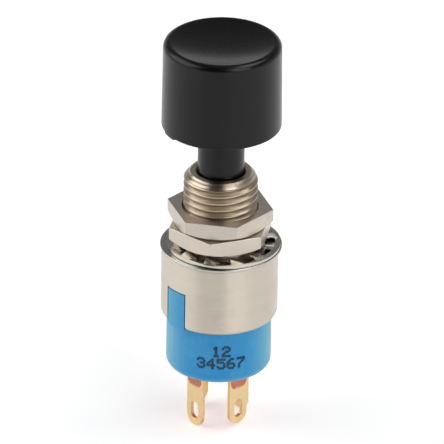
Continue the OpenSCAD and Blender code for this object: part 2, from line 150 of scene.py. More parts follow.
class SwitchFastenerSizes(bpy.types.PropertyGroup):
    nut_flats: length("Across flats", "Width of the hexagon nuts", 8.0)
    nut_face_r: length("Nut face", "Radius of the face under a nut", 3.72)
    nut_chamfer: angle("Nut chamfer", "Slope of the corners' chamfer", 30)
    nut_bore_r: length("Nut bore", "Radius of a nut's bore", 3.225)
    nut_edge: length("Nut edge", "Rounding of a nut's edges", 0.055)
    lower_az: angle("Lower nut azimuth", "Where a corner of the lower nut points", 37.5)
    upper_az: angle("Upper nut azimuth", "Where a corner of the upper nut points", 7.5)
    ring_bore_r: length("Flat washer bore", "Radius of its bore", 3.325)
    sheet_t: length("Lock washer sheet", "Thickness of its sheet", 0.2)
    sheet_rim: length("Lock washer rim", "Width of its closed ring", 0.5)
    tooth_pivot: length("Tooth pivot", "How far beside its middle a tooth is twisted", 0.36)
    tooth_w: length("Tooth width", "Width of a tooth", 1.3)
    tooth_in_r: length("Tooth tip", "Radius of the teeth's tips", 3.615)
    tooth_twist: angle("Tooth twist", "How far the teeth are twisted", 13.4)
    tooth_az: angle("Tooth azimuth", "Where the first tooth points", 5)
    teeth: IntProperty(name="Teeth", description="Number of teeth", default=12, min=3)


class SwitchMarkSizes(bpy.types.PropertyGroup):
    dot_d: length("Dot", "Diameter of one printed dot", 0.245)
    dot_pitch: length("Dot pitch", "From one dot to the next", 0.142)
    letter_gap: length("Digit spacing", "From one digit to the next", 0.87)
    upper_z: length("Upper line", "Depth of the upper line under the shoulder", 7.95)
    lower_z: length("Lower line", "Depth of the lower line under the shoulder", 9.12)
    azimuth: angle("Azimuth", "Where the print is", 51.5)


class SwitchColours(bpy.types.PropertyGroup):
    cap: colour("Cap", "Charcoal plastic", (0.0022, 0.0022, 0.0023))
    rubber: colour("Seal ring", "Black rubber", (0.012, 0.012, 0.012))
    nylon: colour("Carrier", "Natural nylon", (0.70, 0.66, 0.52))
    steel: colour("Springs", "Drawn steel wire", (0.56, 0.57, 0.58))
    bronze: colour("Bridges", "Phosphor bronze", (0.62, 0.40, 0.20))
    silver: colour("Contacts", "Silver alloy", (0.86, 0.85, 0.80))
    nickel: colour("Case nickel", "Satin nickel plate", (0.70, 0.63, 0.54))
    worn_nickel: colour("Thread nickel", "Thin plate on the thread", (0.60, 0.50, 0.385))
    washer: colour("Washers", "Polished plated sheet", (0.60, 0.575, 0.53))
    nut: colour("Nut nickel", "Brushed nickel plate", (0.70, 0.63, 0.55))
    blue: colour("Base", "Blue moulding", (0.024, 0.345, 0.79))
    # Also the colour of the painted sheen where the base is seen aslant.
    bloom_and_sheen_blue: colour("Base bloom", "Chalky bloom on the blue", (0.16, 0.54, 0.73))
    gold: colour("Lugs", "Gold plate", (0.95, 0.71, 0.39))
    resin: colour("Resin", "Red sealing resin", (0.74, 0.16, 0.13))
    ink: colour("Ink", "Printed digits", (0.003, 0.012, 0.030))
    floor: colour("Floor", "White studio floor", (0.86, 0.86, 0.86))


GROUPS = {
    "switch_housing": SwitchHousingSizes,
    "switch_cap": SwitchCapSizes,
    "switch_fasteners": SwitchFastenerSizes,
    "switch_mark": SwitchMarkSizes,
    "switch_colours": SwitchColours,
}


# ---------------------------------------------------------------- modelling by hand


def deselect():
    """Nothing is selected afterwards, and no object is in edit mode."""
    active = bpy.context.view_layer.objects.active
    if active is not None and active.mode != "OBJECT":
        bpy.ops.object.mode_set(mode="OBJECT")
    bpy.ops.object.select_all(action="DESELECT")


def take(piece):
    """Selects one object alone and makes it active."""
    deselect()
    piece.select_set(True)
    bpy.context.view_layer.objects.active = piece


def named(name):
    """Names the primitive that was just added."""
    piece = bpy.context.view_layer.objects.active
    piece.name = name
    piece.data.name = name
    return piece


def edit(piece):
    """Opens an object's mesh with all of its vertices selected."""
    take(piece)
    bpy.ops.object.mode_set(mode="EDIT")
    bpy.ops.mesh.select_mode(type="VERT")
    bpy.ops.mesh.select_all(action="SELECT")
    return piece


def done():
    bpy.ops.object.mode_set(mode="OBJECT")


def pick(piece, test, kind="VERT"):
    """In edit mode, selects only the vertices, edges or faces whose middle passes the test."""
    bpy.ops.mesh.select_mode(type="VERT")
    bpy.ops.mesh.select_all(action="DESELECT")
    bpy.ops.mesh.select_mode(type=kind)
    done()
    mesh = piece.data
    points = [v.co for v in mesh.vertices]
    items = {"VERT": mesh.vertices, "EDGE": mesh.edges, "FACE": mesh.polygons}[kind]
    for item in items:
        if kind == "VERT":
            item.select = bool(test(item.co))
        else:
            corners = [points[i] for i in item.vertices]
            item.select = bool(test(sum(corners, Vector()) / len(corners)))
    bpy.ops.object.mode_set(mode="EDIT")


def settle(piece):
    """Puts an object's place into its mesh and leaves the object at the origin."""
    take(piece)
    bpy.ops.object.transform_apply(location=True, rotation=True, scale=True)
    return piece


def merge(weld=WELD):
    """In edit mode, merges doubles and selects everything."""
    bpy.ops.mesh.remove_doubles(threshold=weld)
    bpy.ops.mesh.select_all(action="SELECT")


def spin(steps, angle, copies=False):
    """In edit mode, spins what is selected round the axis."""
    bpy.ops.mesh.spin(
        steps=steps, dupli=copies, angle=angle, center=(0, 0, 0), axis=(0, 0, 1)
    )


def tidy_mesh(piece, weld=WELD):
    """Merges doubles and turns the faces outwards."""
    edit(piece)
    merge(weld)
    bpy.ops.mesh.normals_make_consistent(inside=False)
    done()
    return piece


def turn_to(piece, azimuth):
    """Turns a finished shape to its azimuth."""
    piece.rotation_euler.z = azimuth
    return tidy_mesh(settle(piece))


def draw_wire(name, points, close):
    """A wire in the XZ plane, extruded from point to point. Points are (x, z)."""
    deselect()
    bpy.ops.mesh.primitive_plane_add(size=MM, location=(0, 0, 0))
    piece = edit(named(name))
    bpy.ops.mesh.merge(type="CENTER")
    bpy.ops.transform.translate(value=(points[0][0], 0, points[0][1]))
    for (x0, z0), (x1, z1) in zip(points, points[1:]):
        bpy.ops.mesh.extrude_vertices_move(
            TRANSFORM_OT_translate={"value": (x1 - x0, 0, z1 - z0)}
        )
    if close:
        ends = [Vector((x, 0, z)) for x, z in (points[0], points[-1])]
        pick(piece, lambda p: min((p - end).length for end in ends) < WELD)
        bpy.ops.mesh.edge_face_add()
    done()
    if len(piece.data.vertices) != len(points):
        raise RuntimeError(f"{name}: the outline is not whole")
    return piece


def draw_face(name, points):
    """A flat face with that outline, left open in edit mode."""
    piece = edit(draw_wire(name, points, True))
    bpy.ops.mesh.edge_face_add()
    return piece


def turned(name, points, close=True, steps=STEPS):
    """A turned piece: its outline, as (radius, height) points, is spun round the axis."""
    piece = edit(draw_wire(name, points, close))
    spin(steps, FULL_TURN)
    done()
    return tidy_mesh(piece)


def arc(centre, radius, start, end, count):
    """Points of an arc in the outline's plane; degrees, 0 outwards and 90 up."""
    x, z = centre
    turns = [math.radians(start + (end - start) * i / count) for i in range(count + 1)]
    return [(x + radius * math.cos(t), z + radius * math.sin(t)) for t in turns]


def block(name, size, centre, azimuth=0.0):
    """A box of that size; centre is (radius, height), out along the azimuth."""
    deselect()
    place = polar(centre[0], azimuth, centre[1])
    bpy.ops.mesh.primitive_cube_add(size=1, location=place, rotation=(0, 0, azimuth))
    piece = named(name)
    piece.scale = size
    return settle(piece)


def polar(radius, azimuth, height):
    """Azimuth 0 points along -Y and turns towards +X."""
    return (radius * math.sin(azimuth), -radius * math.cos(azimuth), height)


def apply_modifier(piece, kind, **settings):
    take(piece)
    modifier = piece.modifiers.new(kind.title(), kind)
    for key, value in settings.items():
        setattr(modifier, key, value)
    bpy.ops.object.modifier_apply(modifier=modifier.name)
    return piece


def combine(piece, other, operation):
    """Boolean with another piece, which is used up."""
    apply_modifier(piece, "BOOLEAN", object=other, operation=operation, solver="EXACT")
    bpy.data.objects.remove(other)
    if not piece.data.polygons:
        raise RuntimeError(f"{piece.name}: the boolean left nothing")
    return piece


def round_edges(piece, width, segments=3, limit=35):
    """Rounds the edges that are sharper than the limit, in degrees."""
    return apply_modifier(
        piece, "BEVEL", width=width, segments=segments, limit_method="ANGLE",
        angle_limit=math.radians(limit), miter_outer="MITER_ARC", use_clamp_overlap=True,
    )


def smooth(piece, limit):
    """Smooth shading that stays crisp at edges sharper than the limit, in degrees."""
    take(piece)
    bpy.ops.object.shade_smooth_by_angle(angle=math.radians(limit))
    return apply_modifier(piece, "WEIGHTED_NORMAL", keep_sharp=True, weight=50)


def cad_copy(node, name):
    """A merged copy of a CAD node's mesh, its flat faces made whole."""
    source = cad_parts[node]
    piece = bpy.data.objects.new(name, source.data.copy())
    bpy.context.scene.collection.objects.link(piece)
    piece.data.name = name
    piece.data.materials.clear()
    take(piece)
    if piece.data.has_custom_normals:
        bpy.ops.mesh.customdata_custom_splitnormals_clear()
    edit(piece)
    merge()
    bpy.ops.mesh.dissolve_limited(angle_limit=FLAT)
    done()
    return piece


def finish_piece(piece, limit, body, name, *nodes, slot=None):
    """Smooths a piece, gives it its finish and its body, and hides the CAD nodes it stands for.

    The slot argument is not used. Print stands for no node.
    """
    smooth(piece, limit)
    piece.data.materials.clear()
    piece.data.materials.append(finish(name))
    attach(piece, body)
    if nodes:
        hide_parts(*nodes)
    return piece


# ---------------------------------------------------------------- finishes


def feed(tree, value, socket):
    """Links a socket to another node's output, or gives it a plain value."""
    if isinstance(value, bpy.types.NodeSocket):
        tree.links.new(value, socket)
    else:
        socket.default_value = value


def add_node(tree, kind, settings=None, **inputs):
    """A shader node; an input is named, or numbered as in i0."""
    made = tree.nodes.new("ShaderNode" + kind)
    for key, value in (settings or {}).items():
        setattr(made, key, value)
    for key, value in inputs.items():
        numbered = key[0] == "i" and key[1:].isdigit()
        feed(tree, value, made.inputs[int(key[1:]) if numbered else key.replace("_", " ")])
    return made


def maths(tree, operation, a, b=0.0, clamp=False):
    settings = {"operation": operation, "use_clamp": clamp}
    return add_node(tree, "Math", settings, i0=a, i1=b).outputs[0]


def times(tree, a, b):
    return maths(tree, "MULTIPLY", a, b)


def vector_maths(tree, operation, *vectors):
    """A vector for NORMALIZE, otherwise a value."""
    inputs = {f"i{k}": vector for k, vector in enumerate(vectors)}
    made = add_node(tree, "VectorMath", {"operation": operation}, **inputs)
    return made.outputs["Vector" if operation == "NORMALIZE" else "Value"]


def blend(tree, share, first, second):
    """A colour between the first and the second."""
    settings = {"data_type": "RGBA"}
    return add_node(tree, "Mix", settings, i0=share, i6=first, i7=second).outputs[2]


def ramp(tree, value, low, high, to_low=0.0, to_high=1.0):
    settings = {"interpolation_type": "SMOOTHSTEP"}
    return add_node(
        tree, "MapRange", settings, Value=value, From_Min=low, From_Max=high,
        To_Min=to_low, To_Max=to_high,
    ).outputs[0]


def object_place(tree):
    return add_node(tree, "TexCoord").outputs["Object"]


def split_xyz(tree, vector):
    return add_node(tree, "SeparateXYZ", Vector=vector).outputs


def across_axis(tree, vector):
    """The part of a vector that lies across the axis."""
    x, y, _ = split_xyz(tree, vector)
    return add_node(tree, "CombineXYZ", X=x, Y=y).outputs[0]


def new_group(name, inputs, outputs):
    """An empty shader node group with float inputs, and the sockets at its two ends."""
    tree = bpy.data.node_groups.new(name, "ShaderNodeTree")
    for key in (*inputs, *outputs):
        way = "INPUT" if key in inputs else "OUTPUT"
        socket = tree.interface.new_socket(name=key, in_out=way, socket_type="NodeSocketFloat")
        if key in inputs:
            socket.default_value = inputs[key]
    given, out = (tree.nodes.new(f"NodeGroup{end}") for end in ("Input", "Output"))
    return tree, given.outputs, out.inputs


def scaled_position(tree, across, along):
    """Object position with its own scale across the axis and along it."""
    scales = {"X": across, "Y": across, "Z": along}
    parts = {
        key: times(tree, part, scales[key])
        for key, part in zip("XYZ", split_xyz(tree, object_place(tree)))
    }
    return add_node(tree, "CombineXYZ", **parts).outputs[0]


def noise(tree, vector, scale, detail=3.0, roughness=0.5):
    return add_node(
        tree, "TexNoise", Vector=vector, Scale=scale, Detail=detail,
        Roughness=roughness,
    ).outputs[0]


def grain_group():
    """Fine mould grain and soft clouds; sizes in metres."""
    tree, given, out = new_group(
        "Moulded Grain", {"Grain Size": 0.1 * MM, "Cloud Size": 2 * MM}, ("Grain", "Clouds")
    )
    place = object_place(tree)
    fine = maths(tree, "DIVIDE", 1.0, given["Grain Size"])
    wide = maths(tree, "DIVIDE", 1.0, given["Cloud Size"])
    tree.links.new(noise(tree, place, fine, 2.0), out["Grain"])
    clouds = noise(tree, place, wide, 4.0, 0.6)
    tree.links.new(ramp(tree, clouds, 0.35, 0.68), out["Clouds"])
    return tree


def lines_group():
    """Lines that run round the axis or along a flat, as turning and grinding leave them."""
    tree, given, out = new_group(
        "Tool Lines", {"Line Size": 0.04 * MM, "Line Length": 2 * MM}, ("Lines", "Bands")
    )
    along = maths(tree, "DIVIDE", 1.0, given["Line Size"])
    across = maths(tree, "DIVIDE", 1.0, given["Line Length"])
    place = scaled_position(tree, across, along)
    tree.links.new(noise(tree, place, 1.0, 3.0, 0.65), out["Lines"])
    longer, wider = times(tree, across, 0.7), times(tree, along, 0.12)
    broad = noise(tree, scaled_position(tree, longer, wider), 1.0, 2.0)
    tree.links.new(ramp(tree, broad, 0.3, 0.7), out["Bands"])
    return tree


def wear_group():
    """Masks for rubbed edges and for faint handling marks."""
    tree, given, out = new_group(
        "Handling Wear", {"Edge Radius": 0.06 * MM, "Mark Size": 1.5 * MM}, ("Edges", "Marks")
    )
    soft = add_node(tree, "Bevel", {"samples": 6}, Radius=given["Edge Radius"])
    true = add_node(tree, "NewGeometry")
    even = vector_maths(tree, "DOT_PRODUCT", soft.outputs[0], true.outputs["Normal"])
    tree.links.new(ramp(tree, even, 0.998, 0.93), out["Edges"])
    size = maths(tree, "DIVIDE", 1.0, given["Mark Size"])
    marks = noise(tree, object_place(tree), size, 6.0, 0.7)
    tree.links.new(ramp(tree, marks, 0.5, 0.75), out["Marks"])
    return tree


def group_node(tree, group, **inputs):
    return add_node(tree, "Group", {"node_tree": group}, **inputs).outputs


def principled(material):
    """A material's node tree and the inputs of its one Principled shader."""
    return material.node_tree, material.node_tree.nodes["Principled BSDF"].inputs


def new_material(name, **constants):
    """A material with one Principled shader, whose constants are set on its own sockets."""
    material = bpy.data.materials.new(name)
    material.use_nodes = True
    tree, shader = principled(material)
    for key, value in constants.items():
        shader[key.replace("_", " ")].default_value = value
    return material, tree, shader


def bump(tree, shader, height, distance, strength):
    made = add_node(
        tree, "Bump", Height=height, Strength=strength, Distance=distance
    )
    tree.links.new(made.outputs[0], shader["Normal"])


def shade(value, share=1.0):
    """A colour with its alpha, made lighter or darker."""
    return (*(c * share for c in value), 1.0)


def plastic(name, groups, base, bloom, amount, grain, rough, specular, coat):
    """Moulded plastic with fine grain, a faint bloom and slightly polished edges."""
    material, tree, shader = new_material(
        name, Specular_IOR_Level=specular, Coat_Weight=coat, Coat_Roughness=0.25
    )
    moulded = group_node(tree, groups["grain"], Grain_Size=grain, Cloud_Size=1.6 * MM)
    wear = group_node(tree, groups["wear"], Edge_Radius=0.08 * MM, Mark_Size=0.9 * MM)
    share = times(tree, moulded["Clouds"], amount)
    marks = times(tree, wear["Marks"], amount * 0.6)
    edges = times(tree, wear["Edges"], amount * 0.7)
    share = maths(tree, "ADD", maths(tree, "ADD", share, marks), edges, clamp=True)
    tree.links.new(blend(tree, share, base, bloom), shader["Base Color"])
    uneven = ramp(tree, moulded["Grain"], 0.2, 0.8, rough - 0.06, rough + 0.06)
    tree.links.new(uneven, shader["Roughness"])
    bump(tree, shader, moulded["Grain"], 0.002 * MM, 0.4)
    return material


def metal(name, groups, base, dull, line, reach, rough, spread, depth, anisotropy):
    """Plated metal with tool lines, dull bands and rubbed edges."""
    material, tree, shader = new_material(name, Metallic=1.0, Anisotropic=anisotropy)
    tool = group_node(tree, groups["lines"], Line_Size=line, Line_Length=reach)
    wear = group_node(tree, groups["wear"], Edge_Radius=0.05 * MM, Mark_Size=1.1 * MM)
    bands = times(tree, tool["Bands"], 0.25)
    marks = times(tree, wear["Marks"], 0.35)
    share = maths(tree, "ADD", bands, marks, clamp=True)
    share = maths(tree, "SUBTRACT", share, wear["Edges"], clamp=True)
    tree.links.new(blend(tree, share, base, dull), shader["Base Color"])
    uneven = ramp(tree, tool["Lines"], 0.25, 0.75, rough - spread, rough + spread)
    uneven = maths(tree, "ADD", uneven, times(tree, wear["Marks"], 0.06))
    tree.links.new(uneven, shader["Roughness"])
    bump(tree, shader, tool["Lines"], depth, 0.6)
    if anisotropy:
        around = add_node(tree, "Tangent", {"direction_type": "RADIAL", "axis": "Z"})
        tree.links.new(around.outputs[0], shader["Tangent"])
        shader["Anisotropic Rotation"].default_value = 0.25
    return material


def recolour(material, share, tint):
    """Mixes a colour into the one that the shader has so far."""
    tree, shader = principled(material)
    before = shader["Base Color"].links[0].from_socket
    tree.links.new(blend(tree, share, before, tint), shader["Base Color"])


def tint_above(material, amount, tint, low, high):
    """Warms a metal's colour from one height to another, up its axis."""
    tree = material.node_tree
    above = ramp(tree, split_xyz(tree, object_place(tree))[2], low, high)
    recolour(material, times(tree, above, amount), tint)


def paint_aslant_sheen(material, pale):
    """Painted sheen: the plastic's colour is made paler where it is seen aslant."""
    tree = material.node_tree
    aslant = add_node(tree, "LayerWeight", Blend=0.5).outputs["Facing"]
    recolour(material, ramp(tree, aslant, 0.1, 0.75, 0.0, 0.9), pale)


def fade_below(material, low, high, pool):
    """Alpha: nothing below, a clear film above, solid from the height of the pool upwards."""
    tree, shader = principled(material)
    place = object_place(tree)
    height = split_xyz(tree, place)[2]
    uneven = maths(tree, "SUBTRACT", noise(tree, place, 2200.0), 0.5)
    ragged = maths(tree, "ADD", height, times(tree, uneven, 0.5 * MM))
    film = ramp(tree, ragged, low, high, 0.0, 0.62)
    whole = ramp(tree, height, pool - 0.06 * MM, pool)
    tree.links.new(maths(tree, "MAXIMUM", film, whole), shader["Alpha"])


def shade_thread_roots(material, root_r, unshaded_r):
    """Painted shade in the thread's root: darker towards the root, above the shoulder only."""
    tree = material.node_tree
    place = object_place(tree)
    radius = vector_maths(tree, "LENGTH", across_axis(tree, place))
    height = split_xyz(tree, place)[2]
    share = ramp(tree, radius, unshaded_r, root_r)
    for mask in (
        ramp(tree, radius, root_r * 0.99, root_r * 0.985, 1.0, 0.0),
        ramp(tree, height, 0.0, 0.1 * MM),
        ramp(tree, height, 7.2 * MM, 7.0 * MM),
        0.35,
    ):
        share = times(tree, share, mask)
    recolour(material, share, ROOT_SHADE)


# Colour of the painted shade in the thread's roots.
ROOT_SHADE = (0.06, 0.045, 0.03, 1.0)

# Finish, material, colour, the bloom's colour and how light it is, the bloom's share,
# grain in mm, roughness, specular, coat.
PLASTICS = (
    ("cap_plastic", "Charcoal Cap", "cap", "cap", 1.9, 0.5, 0.09, 0.23, 0.32, 0),
    ("plunger_plastic", "Charcoal Plunger", "cap", "cap", 1.6, 0.4, 0.06, 0.24, 0.32, 0),
    ("seal_rubber", "Seal Rubber", "rubber", "rubber", 2.5, 0.5, 0.03, 0.6, 0.5, 0),
    ("carrier_plastic", "Carrier Nylon", "nylon", "nylon", 0.85, 0.5, 0.05, 0.45, 0.5, 0),
    ("base_plastic", "Blue Moulding", "blue", "bloom_and_sheen_blue", 1, 0.22, 0.07, 0.36, 0.36, 0),
    ("ink", "Printed Ink", "ink", "blue", 1, 0.15, 0.05, 0.5, 0.5, 0),
    ("seal_resin", "Red Resin", "resin", "resin", 1.5, 0.5, 0.12, 0.3, 0.5, 0.3),
)

# Finish, material, colour, how light it is and where it is dull, the lines' width and
# length in mm, roughness and its spread, the lines' depth in mm, anisotropy.
METALS = (
    ("spring_steel", "Spring Wire", "steel", 1, 0.8, 0.02, 0.3, 0.25, 0.05, 0.001, 0),
    ("contact_bronze", "Rolled Bronze", "bronze", 1, 0.8, 0.03, 1.5, 0.3, 0.06, 0.001, 0),
    ("contact_silver", "Silver Contacts", "silver", 1, 0.85, 0.03, 0.5, 0.25, 0.05, 0.001, 0),
    ("nickel_case", "Satin Nickel", "nickel", 1, 0.9, 0.07, 5, 0.33, 0.06, 0.0024, 0.8),
    # The lock washer's sheet is painted 1.12 times lighter than the flat washer's, as painted
    # light against the shade under the nut.
    ("polished_washer", "Polished Sheet", "washer", 1.12, 1, 0.05, 1.2, 0.22, 0.06, 0.0006, 0),
    ("flat_sheet", "Flat Washer Plate", "washer", 1, 0.85, 0.04, 2.5, 0.2, 0.04, 0.0006, 0),
    ("nickel_nut", "Brushed Nickel", "nut", 1, 0.88, 0.08, 3, 0.37, 0.07, 0.0036, 0),
    ("gold_terminal", "Gold Plate", "gold", 1, 0.85, 0.06, 0.4, 0.36, 0.05, 0.0012, 0),
)


def build_finishes(colours):
    """Every finish by its name in the record."""
    groups = {"grain": grain_group(), "lines": lines_group(), "wear": wear_group()}
    made = {}
    for key, name, base, bloom, light, amount, grain, rough, specular, coat in PLASTICS:
        first, second = getattr(colours, base), getattr(colours, bloom)
        made[key] = plastic(
            name, groups, shade(first), shade(second, light), amount, grain * MM, rough,
            specular, coat,
        )
    for key, name, base, light, dull, line, reach, rough, spread, depth, turning in METALS:
        value = getattr(colours, base)
        made[key] = metal(
            name, groups, shade(value, light), shade(value, dull), line * MM, reach * MM,
            rough, spread, depth * MM, turning,
        )
    # Painted sheen on the base, paler where it is seen aslant.
    paint_aslant_sheen(made["base_plastic"], shade(colours.bloom_and_sheen_blue))
    tint_above(made["nickel_case"], 0.85, shade(colours.worn_nickel), 3.5 * MM, 4.3 * MM)
    # Painted shade in the roots of the thread.
    shade_thread_roots(made["nickel_case"], 2.76 * MM, 2.95 * MM)
    fade_below(
        made["seal_resin"], SEAL_LOW.z - 0.45 * MM, SEAL_LOW.z + 0.05 * MM,
        BASE_LOW.z + 0.06 * MM,
    )
    return made


FINISHES = {}


def finish(name):
    """The finish of that name; all of them are made the first time."""
    if not FINISHES:
        FINISHES.update(build_finishes(bpy.context.scene.switch_colours))
    return FINISHES[name]


# ---------------------------------------------------------------- the pieces


class SWITCH_OT_housing(bpy.types.Operator):
    """Turned case with its key slots and the threaded bushing"""

    bl_idname = "switch.housing"
    bl_label = "Housing"

    def execute(self, context):
        s = context.scene.switch_housing
        case_r = HOUSING_HIGH.x
        top, rim = HOUSING_HIGH.z, HOUSING_LOW.z
        thread_r = s.thread_d / 2
        inner_r = case_r - s.case_wall
        bore_lead = 0.14 * MM
        outline = [
            (s.bore_r, top - bore_lead),
            (s.bore_r, -s.shoulder_t),
            (inner_r, -s.shoulder_t),
            (inner_r, rim),
            *arc((case_r - s.rim_r, rim + s.rim_r), s.rim_r, -90, 0, 8),
            (case_r, -s.top_edge),
            (case_r - s.top_edge, 0),
            (thread_r, 0),
            (thread_r, top - s.lead_h),
            *self.runout(s, thread_r, top),
            (thread_r - s.lead_depth, top - 0.03 * MM),
            (s.bore_r + bore_lead, top),
        ]
        piece = turned("threaded_housing", outline, steps=THREAD_STEPS)
        combine(piece, self.slot_cutter(s, case_r, rim), "DIFFERENCE")
        round_edges(piece, 0.03 * MM, 2, 28)
        combine(piece, self.groove_cutter(s, thread_r, top), "DIFFERENCE")
        tidy_mesh(piece, FINE_WELD)
        finish_piece(piece, 32, "case", "nickel_case", "housing")
        return {"FINISHED"}

    def runout(self, s, thread_r, top):
        """A fine V round the lead cone, where the thread begins."""
        depth, half = 0.06 * MM, 0.03 * MM
        middle = top - s.lead_h + s.runout_h
        return [
            (thread_r - s.lead_depth * (s.runout_h + shift) / s.lead_h - cut, middle + shift)
            for shift, cut in ((-half, 0), (0, depth), (half, 0))
        ]

    def slot_cutter(self, s, case_r, rim):
        """One bar that cuts both slots, its mouth flared."""
        half, mouth, below = s.slot_w / 2, s.slot_mouth_r, 1 * MM
        left = arc((-half - mouth, rim + mouth), mouth, -90, 0, 8)
        right = [(-x, z) for x, z in reversed(left)]
        top = rim + s.slot_h
        outline = [
            (-half - mouth, rim - below),
            *left,
            (-half, top),
            (half, top),
            *right,
            (half + mouth, rim - below),
        ]
        cutter = draw_face("slot_cutter", outline)
        bpy.ops.transform.translate(value=(0, -2 * case_r, 0))
        bpy.ops.mesh.extrude_region_move(TRANSFORM_OT_translate={"value": (0, 4 * case_r, 0)})
        done()
        return tidy_mesh(cutter)

    def groove_cutter(self, s, thread_r, top):
        """The thread's groove: a wedge swept up the helix."""
        root_r = thread_r - s.thread_depth
        out_r = thread_r + 0.025 * MM
        flank, start = math.radians(30), 0.212 * MM
        root_half = s.pitch / 24
        out_half = root_half + (out_r - root_r) * math.tan(flank)
        turns = math.ceil((top + s.pitch - start) / s.pitch)
        outline = [
            (root_r, start - root_half),
            (out_r, start - out_half),
            (out_r, start + out_half),
            (root_r, start + root_half),
        ]
        cutter = draw_wire("groove_cutter", outline, True)
        apply_modifier(
            cutter, "SCREW", angle=FULL_TURN, screw_offset=s.pitch, iterations=turns,
            steps=THREAD_STEPS, render_steps=THREAD_STEPS, axis="Z", use_smooth_shade=False,
        )
        edit(cutter)
        merge()
        bpy.ops.mesh.fill_holes(sides=0)
        done()
        return tidy_mesh(cutter)


class SWITCH_OT_cap(bpy.types.Operator):
    """Dished cap with its webs and gate nub"""

    bl_idname = "switch.cap"
    bl_label = "Button cap"

    def execute(self, context):
        s = context.scene.switch_cap
        cap_r = CAP_HIGH.x
        top, rim = CAP_HIGH.z, CAP_LOW.z + s.nub_h
        inner_r, roof = cap_r - s.wall, top - s.roof
        boss_r, neck_top = s.tang_r + 0.92 * MM, rim + s.recess
        hole_r, hole_top = s.tang_r + 0.02 * MM, rim + s.recess + s.tang_h + 0.1 * MM
        dish_r = s.top_r - s.rim_r
        ball_r = (dish_r**2 + s.dish**2) / (2 * s.dish)
        tilt = math.degrees(math.asin(dish_r / ball_r))
        dish = arc((0, top - s.dish + ball_r), ball_r, tilt - 90, -90, 24)
        lip = 0.1 * MM
        outline = [
            (0, hole_top),
            (hole_r, hole_top),
            (hole_r, neck_top),
            (boss_r, neck_top),
            (boss_r, roof),
            (inner_r, roof),
            (inner_r, rim),
            *arc((cap_r - lip, rim + lip), lip, -90, 0, 4),
            *arc((s.top_r - s.rim_r, top - s.rim_r), s.rim_r, 0, 90, 14),
            *dish[1:-1],
            (0, top - s.dish),
        ]
        piece = turned("button_cap", outline, close=False)
        combine(piece, self.webs(s, boss_r, inner_r, neck_top, roof), "UNION")
        combine(piece, self.nub(s, cap_r, rim), "UNION")
        tidy_mesh(piece)
        finish_piece(piece, 32, "plunger", "cap_plastic", "cap")
        return {"FINISHED"}

    def webs(self, s, boss_r, inner_r, low, high):
        """One web, and three more round the axis."""
        lap = 0.15 * MM
        reach = inner_r - boss_r + 2 * lap
        size = (s.web_w, reach, high - low + lap)
        centre = (boss_r - lap + reach / 2, (low + high + lap) / 2)
        web = edit(block("webs", size, centre, math.radians(45)))
        spin(3, FULL_TURN * 3 / 4, copies=True)
        done()
        return tidy_mesh(web)

    def nub(self, s, cap_r, rim):
        """A short arc of a ring, spun from its section."""
        inset, lap = 0.03 * MM, 0.1 * MM
        low, high = rim - s.nub_h, rim + lap
        out_r, in_r = cap_r - inset, cap_r - s.wall / 2
        nub = draw_face("nub", [(in_r, low), (out_r, low), (out_r, high), (in_r, high)])
        spin(8, -s.nub_span)
        done()
        return turn_to(nub, s.nub_az - math.pi / 2)


class SWITCH_OT_plunger(bpy.types.Operator):
    """Plunger with its neck, seal groove, stop flange and stem"""

    bl_idname = "switch.plunger"
    bl_label = "Plunger"

    def execute(self, context):
        s = context.scene.switch_cap
        top, low = PLUNGER_HIGH.z, PLUNGER_LOW.z
        neck_top = top - s.tang_h
        flange_r, flange_top, flange_low = PLUNGER_HIGH.x, -0.8 * MM, -1.7 * MM
        ring_low, ring_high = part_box("o_ring")
        ring_z, room = (ring_low.z + ring_high.z) / 2, 0.06 * MM
        half = (ring_high.z - ring_low.z) / 2 + room
        groove_r = ring_high.x - (ring_high.z - ring_low.z) - 0.02 * MM
        stem_r, edge = 0.8 * MM, 0.06 * MM
        outline = [
            (0, low),
            (stem_r - edge, low),
            (stem_r, low + edge),
            (stem_r, flange_low),
            (flange_r - edge, flange_low),
            (flange_r, flange_low + edge),
            (flange_r, flange_top - edge),
            (flange_r - edge, flange_top),
            (s.neck_r, flange_top),
            (s.neck_r, ring_z - half),
            (groove_r, ring_z - half),
            (groove_r, ring_z + half),
            (s.neck_r, ring_z + half),
            (s.neck_r, neck_top - edge),
            (s.neck_r - edge, neck_top),
            (s.tang_r, neck_top),
            (s.tang_r, top - edge),
            (s.tang_r - edge, top),
            (0, top),
        ]
        piece = turned("plunger_stem", outline, close=False)
        finish_piece(piece, 32, "plunger", "plunger_plastic", "plunger")
        return {"FINISHED"}


